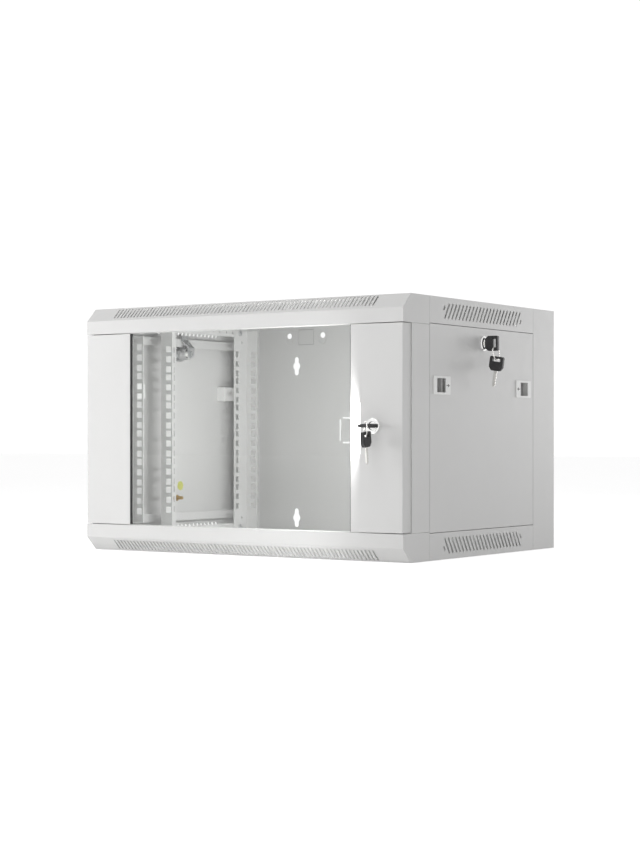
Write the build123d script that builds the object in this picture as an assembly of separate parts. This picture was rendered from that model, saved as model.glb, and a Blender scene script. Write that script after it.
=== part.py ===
"""Wall mount network cabinet, six rack units high, with a glazed lockable door.

Millimetres. +X is the cabinet's right as seen from the front, +Y points into the wall, +Z is up.
The origin is the centre of the wall face, so the front is at y = -DEPTH.
Depths named "from the front" are measured back from the front face, and heights named
"above the floor" are measured up from the underside.
"""
import os
from math import cos, radians, sin, sqrt

from build123d import *

# The 19 inch rack standard, which sets the width and the height
RACK_OPENING = 450.0    # clear width between rack flanges
RACK_HOLE_EDGE = 7.5    # from a flange's edge to its column of holes
RACK_HOLE = 9.5         # square holes for cage nuts
RACK_UNITS = 6
UNIT = 44.45
UNIT_HOLES = (6.35, 22.225, 38.1)   # hole heights within one unit

# Overall size
SIDE_SPACE = 60.0       # from the rack opening to each side of the cabinet
END_SPACE = 51.65       # from the rack units to the roof and to the floor
WIDTH = RACK_OPENING + SIDE_SPACE * 2
HEIGHT = RACK_UNITS * UNIT + END_SPACE * 2
DEPTH = 450.0
SHEET = 1.2             # body sheet
SEAM = 0.4              # open line between neighbouring folded parts

# The three sections, from the front back
FRAME_DEPTH = 70.0      # front frame, measured from the front
PAN_DEPTH = 70.0        # rear pan, measured from the wall
BAND = 38.0             # upright side bands of the roof and floor panels
CHAMFER = 20.0          # sloping front edges, rise and run
TRIM_FACE = 20.0        # upright face between the slope and the door
TRIM_LIP = 24.0         # how far the trim folds back over the door
TRIM_UPTURN = 12.0      # stiffening fold at the end of that lip
JOINING_FLANGE = 12.0   # folds where trims, panels and pan are bolted back to back

# Seats of the side panels
PANEL_GAP = 0.8
PANEL_RETURN = 10.0     # folded edge of a side panel
SEAT_DROP = 10.2        # how far the seat lies in from the side face
SEAT_LEDGE = 12.0       # width of the seat behind the panel's edge

# Front posts
POST_GAP = 0.9          # between the door's return and the post
POST_NOSE = 29.0        # width of the post's face behind the door
RACK_FACE = 63.6        # fixed rack flange, from the front

# Adjustable rails
RAIL_SHEET = 1.5
RAIL_DEPTH = 36.0       # width of the rail's side web
RAIL_FLANGE = 21.0      # from the rack opening to the inner face of the web
FRONT_RAIL = 135.0      # face of the front rails, from the front
REAR_RAIL = 89.0        # face of the rear rails, from the wall
RAIL_END_GAP = 18.0     # rail ends to the outside of floor and roof
WEB_HOLE = (8.0, 9.5)   # side holes of the web, depth by height
WEB_HOLE_EDGE = 8.0     # from the web's free edge to those holes
SPARE_HOLE_EDGE = 20.5  # from that edge to the small spare holes
SPARE_HOLE_FROM_END = 19.5
BRACKET_HEIGHT = 28.0   # upright leg of the depth brackets
BRACKET_FOOT = 16.0
BRACKET_SHEET = 1.5
BRACKET_HOLE = 4.0
BRACKET_PITCH = 18.0
BRACKET_ROW = 7.0       # row of holes above the bracket's lower edge

# Ventilation slots
FRONT_SLOT_MARGIN = 51.0   # from the side to the row of slots, at least
FRONT_SLOT_PITCH = 6.4
FRONT_SLOT = (3.0, 20.0)
FRONT_SLOT_SHIFT = 1.3  # row above the middle of the slope
SIDE_SLOT_MARGIN = 40.0    # from the section's edge to the slots, at least
SIDE_SLOT_PITCH = 10.13
SIDE_SLOT_RISE = 22.0
SIDE_SLOT_LEAN = 13.8   # top end lies this much further back
SIDE_SLOT_WIDTH = 3.6
SHORT_SLOT = 7.5

# Fan position and cable entries
FAN_PITCH = 105.0
FAN_SCREW_HOLE = 4.4
FAN_SLOTS = 11
FAN_SLOT = 4.5
FAN_SLOT_PITCH = 9.5
FAN_DIAMETER = 112.0
FAN_FROM_FRONT = 155.0
ENTRY = (220.0, 50.0)
ENTRY_FROM_WALL = 125.0
COVER_LAP = 12.0
COVER_SHEET = 1.2
SCREW = 4.0
SCREW_HEAD = (9.0, 2.6)
SCREW_TIP = 2.0         # screw end beyond what it holds

# Wall fixing and knock-outs in the back
KEYHOLE_FROM_SIDE = 80.5
KEYHOLE_ABOVE_FLOOR = 35.0
KEYHOLE_BELOW_ROOF = 75.0
KEYHOLE_ROUND = 14.6
KEYHOLE_SLOT = 8.6
KEYHOLE_LENGTH = 31.5
UPPER_HOLES_FROM_SIDE = (134.7, 65.7)
UPPER_HOLE_FROM_ROOF = 23.1
UPPER_HOLE = 9.6
SMALL_KNOCKOUT = (31.0, 25.5)
SMALL_KNOCKOUT_FROM_ROOF = 25.6
TAB_KNOCKOUT = 15.0     # width of the pressed tab below a round hole
TAB_DROP = 7.7          # its round end's centre below the hole's
GROOVE = 0.7            # depth of a pressed knock-out line
GROOVE_WIDTH = 1.3
LARGE_KNOCKOUT = (229.6, 41.7)
KNOCKOUT_SLIT = 2.8
KNOCKOUT_BRIDGE = 5.0
KNOCKOUT_SLITS = 5      # slits along each long side

# Door
DOOR_GAP = 1.2
DOOR_RETURN = 22.0
DOOR_END_FOLD = 16.0
BAND_WIDTH = 84.5
GLASS = 4.0
GLASS_LAP = 10.0        # glass behind each steel band
GLASS_FROM_FRONT = 5.2
SEAL = 1.2
CLAMP_SHEET = 1.5       # cranked bar that holds the glass against its seat
CLAMP_FOOT = 12.3
CLAMP_END_GAP = 4.0
CLAMP_SCREWS = 4
CLAMP_SCREW_END = 25.0
HINGE_IN = 5.5          # hinge axis from the side face
HINGE_BACK = 9.0        # hinge axis from the front
HINGE_PIN = 5.0
HINGE_CLEARANCE = 0.06
PIN_REACH = 7.0
HINGE_PLATE = 3.0
HINGE_PLATE_WIDTH = 16.0

# Locks and keys
LOCK_FROM_SIDE = 49.0
LOCK_ABOVE_MIDDLE = 3.0
SIDE_LOCK_BELOW_ROOF = 60.5
LOCK_BODY = 19.0
LOCK_BODY_LENGTH = 22.0
BEZEL = 22.0
BEZEL_PROUD = 2.5
LOCK_NUT = (25.0, 3.5)
PLUG = 12.0
PLUG_FACE = 1.5         # plug face below the bezel's rim
PLUG_TAIL = 3.5         # plug beyond the body, up to the cam
RUNNING = 0.05
CAM = (15.0, 2.5)
CAM_REACH = 29.0
CAM_SCREW_HEAD = (8.0, 2.4)
CAM_CLEARANCE = 0.8
KEY_HEAD = (22.0, 21.0, 4.6)
KEY_STANDOFF = 0.6
KEY_BLADE = (5.4, 1.8, 24.0)
KEY_CUTS = (1.2, 0.7, 1.5, 1.0)   # depths of the cuts along the blade's edge
KEY_CORNER = 2.6        # rounding of the plastic head
KEY_SLOT = (12.6, 4.2)
KEY_BAR = 3.4           # plastic between the slot and the head's end
KEYWAY_CLEARANCE = 0.1
RING = 19.4             # mean diameter of a key ring
RING_WIRE = 1.4
RING_PLAY = 0.6
DOOR_RING_LEFT = 2.0    # ring in the slot, left of the lock's axis
DOOR_RING_TURN = 43.0   # heading of the ring, from straight out towards the right
DOOR_RING_IN = 0.5      # and nearer to the door than the middle of the slot
DOOR_RING_DROP = 26.0   # slope of the ring where it passes the slot
DOOR_SPARE_TURN = 93.0
DOOR_SPARE_LEAN = -7.0
DOOR_SPARE_PLAY = 1.5   # between the turned key's bar and the wire
SIDE_RING_SWING = 10.0  # how far the side ring hangs outward
SIDE_SPARE_LEAN = 8.0

# Side latches
LATCH_BELOW_ROOF = 124.5
LATCH_FROM_EDGE = 33.0  # latch centre to the panel's edge
LATCH_BEZEL = (46.5, 26.0, 1.2)
LATCH_BODY = (37.0, 23.0, 16.0)
LATCH_WALL = 1.5
LATCH_WINDOW = (24.0, 20.0)
LATCH_WINDOW_SHIFT = 2.0   # window centre towards the tongue
LATCH_TRAVEL = 7.0
LATCH_PLAY = 0.3
LATCH_FACE_DEPTH = 9.0  # slider's face below the panel
LATCH_GRIP = (3.0, 7.0)  # rib for the finger, width and height
LATCH_TONGUE = (12.0, 2.3)
LATCH_LAP = 6.0         # tongue behind the seat at rest

# Earth stud
EARTH_FROM_FRONT = 216.0
EARTH_ABOVE_FLOOR = 74.0
EARTH_STUD = 5.0
EARTH_LENGTH = 15.0
EARTH_WASHER = 1.2

# Worked out from the above
FRONT = -DEPTH
FLOOR = -HEIGHT / 2
ROOF = HEIGHT / 2
SIDE = WIDTH / 2
TRIM = CHAMFER + TRIM_FACE
SECTION_FRONT = FRONT + FRAME_DEPTH
SECTION_REAR = -PAN_DEPTH
SEAT_X = SIDE - SEAT_DROP
RACK_X = RACK_OPENING / 2
HOLE_X = RACK_X + RACK_HOLE_EDGE
WEB_X = RACK_X + RAIL_FLANGE
BRACKET_X = WEB_X + RAIL_SHEET
BRACKET_ROW_Z = ROOF - SHEET - BRACKET_HEIGHT + BRACKET_ROW
SIDE_CAM_CRANK = LOCK_BODY_LENGTH + PLUG_TAIL - SEAT_DROP - SHEET - CAM_CLEARANCE
DOOR_SIDE = SIDE - DOOR_GAP
DOOR_BOTTOM = FLOOR + TRIM + DOOR_GAP
DOOR_TOP = ROOF - TRIM - DOOR_GAP
BAND_INNER = DOOR_SIDE - BAND_WIDTH
LOCK_X = SIDE - LOCK_FROM_SIDE
LOCK_Z = LOCK_ABOVE_MIDDLE
SIDE_LOCK_Y = (SECTION_FRONT + SECTION_REAR) / 2
SIDE_LOCK_Z = ROOF - SIDE_LOCK_BELOW_ROOF
LATCH_Z = ROOF - LATCH_BELOW_ROOF
KEYHOLE_X = SIDE - KEYHOLE_FROM_SIDE
UPPER_HOLE_X = [SIDE - inset for inset in UPPER_HOLES_FROM_SIDE]
FRONT_SLOTS = 1 + int((WIDTH - FRONT_SLOT_MARGIN * 2) / FRONT_SLOT_PITCH)
SIDE_SLOTS = int((SECTION_REAR - SECTION_FRONT - SIDE_SLOT_MARGIN * 2) / SIDE_SLOT_PITCH)
RAIL_END = ROOF - RAIL_END_GAP
HINGE_X = -SIDE + HINGE_IN
HINGE_Y = FRONT + HINGE_BACK
RACK_BOTTOM = -RACK_UNITS * UNIT / 2
RACK_HEIGHTS = [RACK_BOTTOM + unit * UNIT + hole for unit in range(RACK_UNITS) for hole in UNIT_HOLES]
CUT = 2.0               # how far cutters run past what they cut


def slab(x, y, z):
    """Box between pairs of limits."""
    size = (x[1] - x[0], y[1] - y[0], z[1] - z[0])
    return Pos((x[0] + x[1]) / 2, (y[0] + y[1]) / 2, (z[0] + z[1]) / 2) * Box(*size)


def folded(points, thickness):
    """Closed outline of a folded sheet whose outer face is an open line with the sheet on its right."""
    line = [Vector(*p) for p in points]
    ways = [(b - a).normalized() for a, b in zip(line, line[1:])]
    rights = [Vector(w.Y, -w.X) for w in ways]
    inner = [line[0] + rights[0] * thickness]
    for corner, before, after in zip(line[1:-1], rights, rights[1:]):
        across = before + after
        inner.append(corner + across * (thickness / across.dot(before)))
    inner.append(line[-1] + rights[-1] * thickness)
    return line + inner[::-1]


def prism(outline, plane, length):
    """Solid with the given outline on a plane, drawn out along the plane's normal."""
    face = make_face(Polyline(*[(p.X, p.Y) for p in outline], close=True))
    return extrude(plane * face, length)


def along_x(points, thickness, x0, x1):
    """Folded sheet with a (y, z) line, from x0 to x1."""
    return prism(folded(points, thickness), Plane((x0, 0, 0), x_dir=(0, 1, 0), z_dir=(1, 0, 0)), x1 - x0)


def along_y(points, thickness, y0, y1):
    """Folded sheet with an (x, z) line, from y0 to y1."""
    plane = Plane((0, y1, 0), x_dir=(1, 0, 0), z_dir=(0, -1, 0))
    return prism(folded(points, thickness), plane, y1 - y0)


def along_z(points, thickness, z0, z1):
    """Folded sheet with an (x, y) line, from z0 to z1."""
    return prism(folded(points, thickness), Plane.XY.offset(z0), z1 - z0)


def left_of(shape):
    """The same piece on the cabinet's left."""
    return mirror(shape, about=Plane.YZ)


def underside_of(shape):
    """The same piece upside down at the cabinet's floor."""
    return mirror(shape, about=Plane.XY)


def rack_holes(x, y, width, depth, height):
    """Cutters for one column of holes at the rack heights, centred at x and y."""
    return [Pos(x, y, z) * Box(width, depth, height) for z in RACK_HEIGHTS]


def front_trim():
    """Top front trim: sloping vented edge, upright face, lip over the door and closed ends."""
    back = SECTION_FRONT - SEAM / 2
    lip = FRONT + TRIM_LIP
    line = [(lip, ROOF - TRIM + TRIM_UPTURN), (lip, ROOF - TRIM), (FRONT, ROOF - TRIM),
            (FRONT, ROOF - CHAMFER), (FRONT + CHAMFER, ROOF), (back, ROOF), (back, ROOF - JOINING_FLANGE)]
    trim = along_x(line, SHEET, -SIDE, SIDE)
    end = [Vector(back, ROOF), Vector(FRONT + CHAMFER, ROOF), Vector(FRONT, ROOF - CHAMFER),
           Vector(FRONT, ROOF - TRIM), Vector(back, ROOF - TRIM)]
    for x in (-SIDE, SIDE - SHEET):
        trim += prism(end, Plane((x, 0, 0), x_dir=(0, 1, 0), z_dir=(1, 0, 0)), SHEET)
    slope = Plane((0, FRONT + CHAMFER / 2, ROOF - CHAMFER / 2), x_dir=(1, 0, 0), z_dir=(0, -1, 1))
    slot = Pos(0, FRONT_SLOT_SHIFT) * Box(*FRONT_SLOT, SHEET * 4)
    trim -= [slope * place * slot for place in GridLocations(FRONT_SLOT_PITCH, 1, FRONT_SLOTS, 1)]
    for x in (-HINGE_X, HINGE_X):
        trim -= Pos(x, HINGE_Y, ROOF - TRIM) * Cylinder(HINGE_PIN / 2 + HINGE_CLEARANCE, SHEET * 4)
    return trim


def front_post(with_strike):
    """Right front post: seat for the side panel, outer face, nose behind the door and rack flange."""
    nose = FRONT + DOOR_RETURN + POST_GAP
    rear = SECTION_FRONT - SEAM / 2
    line = [(SEAT_X, rear + SEAT_LEDGE), (SEAT_X, rear), (SIDE, rear), (SIDE, nose),
            (SIDE - POST_NOSE, nose), (SIDE - POST_NOSE, FRONT + RACK_FACE), (RACK_X, FRONT + RACK_FACE)]
    foot = FLOOR + TRIM + SEAM
    post = along_z(line, SHEET, foot, -foot)
    post -= rack_holes(HOLE_X, FRONT + RACK_FACE, RACK_HOLE, SHEET * 4, RACK_HOLE)
    if with_strike:
        cam = FRONT + LOCK_BODY_LENGTH + PLUG_TAIL
        post -= slab((SIDE - POST_NOSE - CUT, SIDE - POST_NOSE + SHEET + CUT),
                     (cam - CAM_CLEARANCE, cam + CAM[1] + CAM_CLEARANCE),
                     (LOCK_Z - CAM_REACH, LOCK_Z + CAM[0]))
    return post


def band_slots():
    """Cutters for the leaning slots of the right side band, with the short ones at both ends."""
    lean = Vector(SIDE_SLOT_LEAN, SIDE_SLOT_RISE).normalized()
    long_slot = sqrt(SIDE_SLOT_LEAN ** 2 + SIDE_SLOT_RISE ** 2)
    middle = (SECTION_FRONT + SECTION_REAR) / 2
    height = ROOF - BAND / 2
    half = (SIDE_SLOTS + 1) / 2 * SIDE_SLOT_PITCH
    turn = Vector(0, 1).get_angle(lean)
    shift = (long_slot - SHORT_SLOT) / 4
    places = [(middle - half + SIDE_SLOT_PITCH * (i + 1), height, long_slot) for i in range(SIDE_SLOTS)]
    places += [(middle - half + lean.X * shift, height + lean.Y * shift, SHORT_SLOT),
               (middle + half - lean.X * shift, height - lean.Y * shift, SHORT_SLOT)]
    return [Pos(SIDE, y, z) * Rot(-turn, 0, 0) * Box(SHEET * 4, SIDE_SLOT_WIDTH, length)
            for y, z, length in places]


def cover_panel():
    """Roof panel with vented side bands, seats for the side panels and joining flanges."""
    y0 = SECTION_FRONT + SEAM / 2
    y1 = SECTION_REAR - SEAM / 2
    band_foot = ROOF - BAND
    line = [(-SEAT_X, band_foot - SEAT_LEDGE), (-SEAT_X, band_foot), (-SIDE, band_foot), (-SIDE, ROOF),
            (SIDE, ROOF), (SIDE, band_foot), (SEAT_X, band_foot), (SEAT_X, band_foot - SEAT_LEDGE)]
    panel = along_y(line, SHEET, y0, y1)
    # The ledges stop short of the posts' and the pan's own ledges.
    for x in (-SEAT_X, SEAT_X):
        for y in (y0, y1):
            side = SEAT_LEDGE + SEAM * 2
            low = band_foot - SEAT_LEDGE - CUT
            panel -= slab((x - CUT, x + CUT), (y - side, y + side), (low, band_foot - SEAM))
    for low, high in ((y0, y0 + SHEET), (y1 - SHEET, y1)):
        panel += slab((-SIDE + SHEET, SIDE - SHEET), (low, high), (ROOF - JOINING_FLANGE, ROOF - SHEET))
    right = band_slots()
    panel -= right
    panel -= [left_of(cutter) for cutter in right]
    return panel


def entry_cut():
    """Cutter for the cable entry behind its cover."""
    y = -ENTRY_FROM_WALL
    wide, deep = ENTRY[0] / 2, ENTRY[1] / 2
    return slab((-wide, wide), (y - deep, y + deep), (ROOF - CUT, ROOF + CUT))


def cover_screw_places():
    """Where the screws of an entry cover stand."""
    x = (ENTRY[0] + COVER_LAP) / 2
    return [(side * x, -ENTRY_FROM_WALL) for side in (-1, 1)]


def roof_panel():
    """Roof panel with the cable entry, the fan grille and the fan's screw holes."""
    panel = cover_panel() - entry_cut()
    y = FRONT + FAN_FROM_FRONT
    middle = (FAN_SLOTS - 1) / 2
    for i in range(FAN_SLOTS):
        off = (i - middle) * FAN_SLOT_PITCH
        length = 2 * sqrt((FAN_DIAMETER / 2) ** 2 - off ** 2)
        panel -= Pos(0, y + off, ROOF) * Box(length, FAN_SLOT, SHEET * 4)
    for place in GridLocations(FAN_PITCH, FAN_PITCH, 2, 2):
        panel -= Pos(0, y, ROOF) * place * Cylinder(FAN_SCREW_HOLE / 2, SHEET * 4)
    panel -= cover_holes()
    return panel


def cover_holes():
    """Cutters for the screws of an entry cover."""
    return [Pos(x, y, ROOF) * Cylinder(SCREW / 2, SHEET * 6) for x, y in cover_screw_places()]


def floor_panel():
    """Floor panel with the lower cable entry."""
    return underside_of(cover_panel() - entry_cut() - cover_holes())


def entry_cover():
    """Cover plate inside the roof over the cable entry."""
    y = -ENTRY_FROM_WALL
    wide = ENTRY[0] / 2 + COVER_LAP
    deep = ENTRY[1] / 2 + COVER_LAP
    top = ROOF - SHEET
    plate = slab((-wide, wide), (y - deep, y + deep), (top - COVER_SHEET, top))
    return plate - cover_holes()


def keyhole(x, z):
    """Cutter for a keyhole with a slot above and below its round middle."""
    slot = SlotOverall(KEYHOLE_LENGTH, KEYHOLE_SLOT, rotation=90)
    shape = Plane.XZ * (Pos(x, z) * (slot + Circle(KEYHOLE_ROUND / 2)))
    return extrude(shape, SHEET * 2, both=True)


def slit(x, z, width, height):
    """Cutter for a through slit in the back."""
    return Pos(x, 0, z) * Box(width, SHEET * 4, height)


def groove(x, z, width, height):
    """Cutter for a pressed line on the inner face of the back."""
    return Pos(x, -SHEET, z) * Box(width, GROOVE * 2, height)


def large_knockout():
    """Cutters for the bridged outline of the large knock-out in the middle of the back."""
    wide, high = LARGE_KNOCKOUT
    cutters = [slit(side * wide / 2, 0, KNOCKOUT_SLIT, high - KNOCKOUT_BRIDGE) for side in (-1, 1)]
    pitch = wide / KNOCKOUT_SLITS
    for z in (-high / 2, high / 2):
        for i in range(KNOCKOUT_SLITS):
            x = (i - (KNOCKOUT_SLITS - 1) / 2) * pitch
            cutters.append(slit(x, z, pitch - KNOCKOUT_BRIDGE * 2, KNOCKOUT_SLIT))
    return cutters


def tongue(width):
    """Tab hanging down from the origin with a round end."""
    return Pos(0, -TAB_DROP) * Circle(width / 2) + Pos(0, -TAB_DROP / 2) * Rectangle(width, TAB_DROP)


def upper_knockouts(side):
    """Cutters for the pressed knock-outs near the roof on one side."""
    wide, high = SMALL_KNOCKOUT
    z = ROOF - SMALL_KNOCKOUT_FROM_ROOF
    x = side * sum(UPPER_HOLE_X) / 2
    cutters = [groove(x + s * wide / 2, z, GROOVE_WIDTH, high) for s in (-1, 1)]
    cutters += [groove(x, z + s * high / 2, wide + GROOVE_WIDTH, GROOVE_WIDTH) for s in (-1, 1)]
    cutters += [slit(x + s * wide / 2, z, KNOCKOUT_SLIT / 2, KNOCKOUT_SLIT * 2) for s in (-1, 1)]
    hole_z = ROOF - UPPER_HOLE_FROM_ROOF
    for hole_x in UPPER_HOLE_X:
        place = Plane.XZ * Pos(side * hole_x, hole_z)
        cutters.append(extrude(place * Circle(UPPER_HOLE / 2), SHEET * 2, both=True))
        tab = tongue(TAB_KNOCKOUT + GROOVE_WIDTH) - tongue(TAB_KNOCKOUT - GROOVE_WIDTH)
        inner_face = Plane((side * hole_x, -SHEET, hole_z), x_dir=(1, 0, 0), z_dir=(0, -1, 0))
        cutters.append(extrude(inner_face * tab, GROOVE, both=True))
    return cutters


def rear_pan():
    """Back of the cabinet: a shallow pan with wall keyholes, knock-outs and seats for the side panels."""
    y0 = SECTION_REAR + SEAM / 2
    pan = slab((-SIDE, SIDE), (y0, 0), (FLOOR, ROOF))
    pan -= slab((-SIDE + SHEET, SIDE - SHEET), (y0 + SHEET, -SHEET), (FLOOR + SHEET, ROOF - SHEET))
    mouth = SEAT_X - SHEET
    edge = ROOF - JOINING_FLANGE
    pan -= slab((-mouth, mouth), (y0 - CUT, y0 + SHEET + CUT), (-edge, edge))
    # Behind the bands only a narrow flange is left, and it steps forward as a seat between them.
    low = FLOOR + BAND + SEAM
    for side in (-1, 1):
        x = sorted((side * (SEAT_X - SHEET), side * SEAT_X))
        pan += slab(x, (y0 - SEAT_LEDGE, y0 + SHEET), (low, -low))
    for side in (-1, 1):
        pan -= [keyhole(side * KEYHOLE_X, z) for z in (FLOOR + KEYHOLE_ABOVE_FLOOR, ROOF - KEYHOLE_BELOW_ROOF)]
        pan -= upper_knockouts(side)
    pan -= large_knockout()
    return pan


def latch_y(end):
    """Centre of a latch, end -1 at the panel's front and 1 at its rear."""
    edge = SECTION_FRONT if end < 0 else SECTION_REAR
    return edge - end * LATCH_FROM_EDGE


def side_panel():
    """Right removable side panel with cut-outs for both latches and the lock."""
    y = (SECTION_FRONT + PANEL_GAP, SECTION_REAR - PANEL_GAP)
    z = (FLOOR + BAND + PANEL_GAP, ROOF - BAND - PANEL_GAP)
    panel = slab((SIDE - PANEL_RETURN, SIDE), y, z)
    inner_y = (y[0] + SHEET, y[1] - SHEET)
    inner_z = (z[0] + SHEET, z[1] - SHEET)
    panel -= slab((SIDE - PANEL_RETURN - CUT, SIDE - SHEET), inner_y, inner_z)
    for end in (-1, 1):
        cut = Box(SHEET * 4, LATCH_BODY[0] + LATCH_PLAY, LATCH_BODY[1] + LATCH_PLAY)
        panel -= Pos(SIDE, latch_y(end), LATCH_Z) * cut
    hole = Rot(0, 90, 0) * Cylinder(LOCK_BODY / 2 + RUNNING, SHEET * 4)
    panel -= Pos(SIDE, SIDE_LOCK_Y, SIDE_LOCK_Z) * hole
    return panel


def latch_housing():
    """Latch housing in its own frame: the face at z = 0, the tongue towards -X."""
    long, high, deep = LATCH_BODY
    bezel = extrude(RectangleRounded(LATCH_BEZEL[0], LATCH_BEZEL[1], LATCH_WALL), LATCH_BEZEL[2])
    body = slab((-long / 2, long / 2), (-high / 2, high / 2), (-deep, 0))
    room = slab((-long / 2 + LATCH_WALL, long / 2 - LATCH_WALL),
                (-high / 2 + LATCH_WALL, high / 2 - LATCH_WALL), (-deep + LATCH_WALL, CUT))
    window = slab((-LATCH_WINDOW[0] / 2 - LATCH_WINDOW_SHIFT, LATCH_WINDOW[0] / 2 - LATCH_WINDOW_SHIFT),
                  (-LATCH_WINDOW[1] / 2, LATCH_WINDOW[1] / 2), (-CUT, LATCH_BEZEL[2] + CUT))
    wide = LATCH_TONGUE[0] / 2 + LATCH_PLAY
    base = -deep + LATCH_WALL
    mouth = slab((-long / 2 - CUT, 0), (-wide, wide), (base, base + LATCH_TONGUE[1] + LATCH_PLAY * 2))
    return body - room - mouth + (bezel - window)


def latch_slider():
    """Sliding part in the same frame: sunk plate with a finger rib, and the tongue behind the seat."""
    long, high, deep = LATCH_BODY
    x0 = -long / 2 + LATCH_WALL + LATCH_PLAY
    x1 = long / 2 - LATCH_WALL - LATCH_PLAY - LATCH_TRAVEL
    wide = high / 2 - LATCH_WALL - LATCH_PLAY
    base = -deep + LATCH_WALL + LATCH_PLAY
    block = slab((x0, x1), (-wide, wide), (base, -LATCH_FACE_DEPTH))
    grip = LATCH_WINDOW[0] / 2 - LATCH_WINDOW_SHIFT - LATCH_TRAVEL
    rib = slab((grip, grip + LATCH_GRIP[0]), (-wide, wide), (base, -LATCH_FACE_DEPTH + LATCH_GRIP[1]))
    seat_end = -LATCH_FROM_EDGE + SEAT_LEDGE - SEAM / 2
    tongue = slab((seat_end - LATCH_LAP, x0 + CUT), (-LATCH_TONGUE[0] / 2, LATCH_TONGUE[0] / 2),
                  (base, base + LATCH_TONGUE[1]))
    return block + rib + tongue


def latch_frame(side, end):
    """Place of a latch, with its tongue towards the nearest edge of the panel."""
    origin = (side * SIDE, latch_y(end), LATCH_Z)
    return Plane(origin, x_dir=(0, -end, 0), z_dir=(side, 0, 0))


def lock_body():
    """Lock body in its own frame: +Z outward, the panel's face at z = 0."""
    rim = Pos(0, 0, BEZEL_PROUD / 2) * Cylinder(BEZEL / 2, BEZEL_PROUD)
    rim = chamfer(rim.edges().group_by(Axis.Z)[-1], BEZEL_PROUD * 0.4)
    barrel = Pos(0, 0, -LOCK_BODY_LENGTH / 2) * Cylinder(LOCK_BODY / 2, LOCK_BODY_LENGTH)
    bore = Cylinder(PLUG / 2 + RUNNING, LOCK_BODY_LENGTH * 3)
    return rim + barrel - bore


def lock_nut():
    """Hexagon nut that clamps the lock to its panel."""
    across, thick = LOCK_NUT
    nut = extrude(RegularPolygon(across / 2, 6, major_radius=False, rotation=30), thick)
    nut -= Cylinder(LOCK_BODY / 2, thick * 4)
    return Pos(0, 0, -SHEET - thick) * nut


def lock_plug():
    """Turning plug with its keyway, the key's broad side along X."""
    top = BEZEL_PROUD - PLUG_FACE
    tail = -LOCK_BODY_LENGTH - PLUG_TAIL
    plug = Pos(0, 0, (top + tail) / 2) * Cylinder(PLUG / 2, top - tail)
    deep = KEY_BLADE[2] + KEYWAY_CLEARANCE
    way = slab((-KEY_BLADE[0] / 2 - KEYWAY_CLEARANCE, KEY_BLADE[0] / 2 + KEYWAY_CLEARANCE),
               (-KEY_BLADE[1] / 2 - KEYWAY_CLEARANCE, KEY_BLADE[1] / 2 + KEYWAY_CLEARANCE),
               (BEZEL_PROUD + KEY_STANDOFF - deep, BEZEL_PROUD + CUT))
    return plug - way


def lock_cam(arm, crank):
    """Cam and its screw at the plug's tail; arm is its direction in degrees, crank its step outward."""
    width, thick = CAM
    tail = -LOCK_BODY_LENGTH - PLUG_TAIL
    hub = Pos(0, 0, tail - thick / 2) * Cylinder(width / 2, thick)
    step = width * 0.55
    line = [(0, tail), (step, tail), (step + crank, tail + crank), (CAM_REACH, tail + crank)]
    if not crank:
        line = [line[0], line[-1]]
    reach = prism(folded(line, thick), Plane((0, width / 2, 0), x_dir=(1, 0, 0), z_dir=(0, -1, 0)), width)
    head = CAM_SCREW_HEAD
    screw = Pos(0, 0, tail - thick - head[1] / 2) * Cylinder(head[0] / 2, head[1])
    return [Rot(0, 0, arm) * (hub + reach), screw]


def key():
    """Key in the lock's frame: plastic head across X, with a slot for the ring, and its blade inward."""
    wide, long, thick = KEY_HEAD
    near = BEZEL_PROUD + KEY_STANDOFF
    half = wide / 2
    neck = wide * 0.32
    outline = [(-neck, near), (neck, near), (half, near + long * 0.25), (half, near + long),
               (-half, near + long), (-half, near + long * 0.25)]
    face = make_face(Polyline(*outline, close=True))
    face = fillet(face.vertices(), KEY_CORNER)
    slot_z = near + long - KEY_BAR - KEY_SLOT[1] / 2
    face -= Pos(0, slot_z) * Rectangle(*KEY_SLOT)
    broad = Plane((0, 0, 0), x_dir=(1, 0, 0), z_dir=(0, -1, 0))
    head = extrude(broad * face, thick / 2, both=True)
    edge = KEY_BLADE[0] / 2
    tip = near - KEY_BLADE[2] + KEYWAY_CLEARANCE * 2
    pitch = (near - tip) / (len(KEY_CUTS) + 2)
    line = [(-edge, near), (edge, near)]
    for i, cut in enumerate(KEY_CUTS):
        top = near - pitch * (i + 1)
        line += [(edge, top), (edge - cut, top - pitch * 0.3), (edge - cut, top - pitch * 0.6)]
    line += [(edge, tip + pitch), (0, tip), (-edge, tip + pitch / 2)]
    blade = extrude(broad * make_face(Polyline(*line, close=True)), KEY_BLADE[1] / 2, both=True)
    return [head, blade]


def lock_frame(name):
    """Frame of a lock: +Z outward, +X along the broad side of the key at rest."""
    if name == "door":
        return Plane((LOCK_X, FRONT, LOCK_Z), x_dir=(1, 0, 0), z_dir=(0, -1, 0))
    side = 1 if name == "right" else -1
    return Plane((side * SIDE, SIDE_LOCK_Y, SIDE_LOCK_Z), x_dir=(0, 0, 1), z_dir=(side, 0, 0))


def bracket_row():
    """Depths of the holes along a depth bracket, in pairs about the middle of the cabinet's body."""
    y = (SECTION_FRONT + SECTION_REAR) / 2
    pairs = int((SECTION_REAR - SECTION_FRONT) / BRACKET_PITCH / 2) - 1
    return [y + (i - pairs + 0.5) * BRACKET_PITCH for i in range(pairs * 2)]


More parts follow.
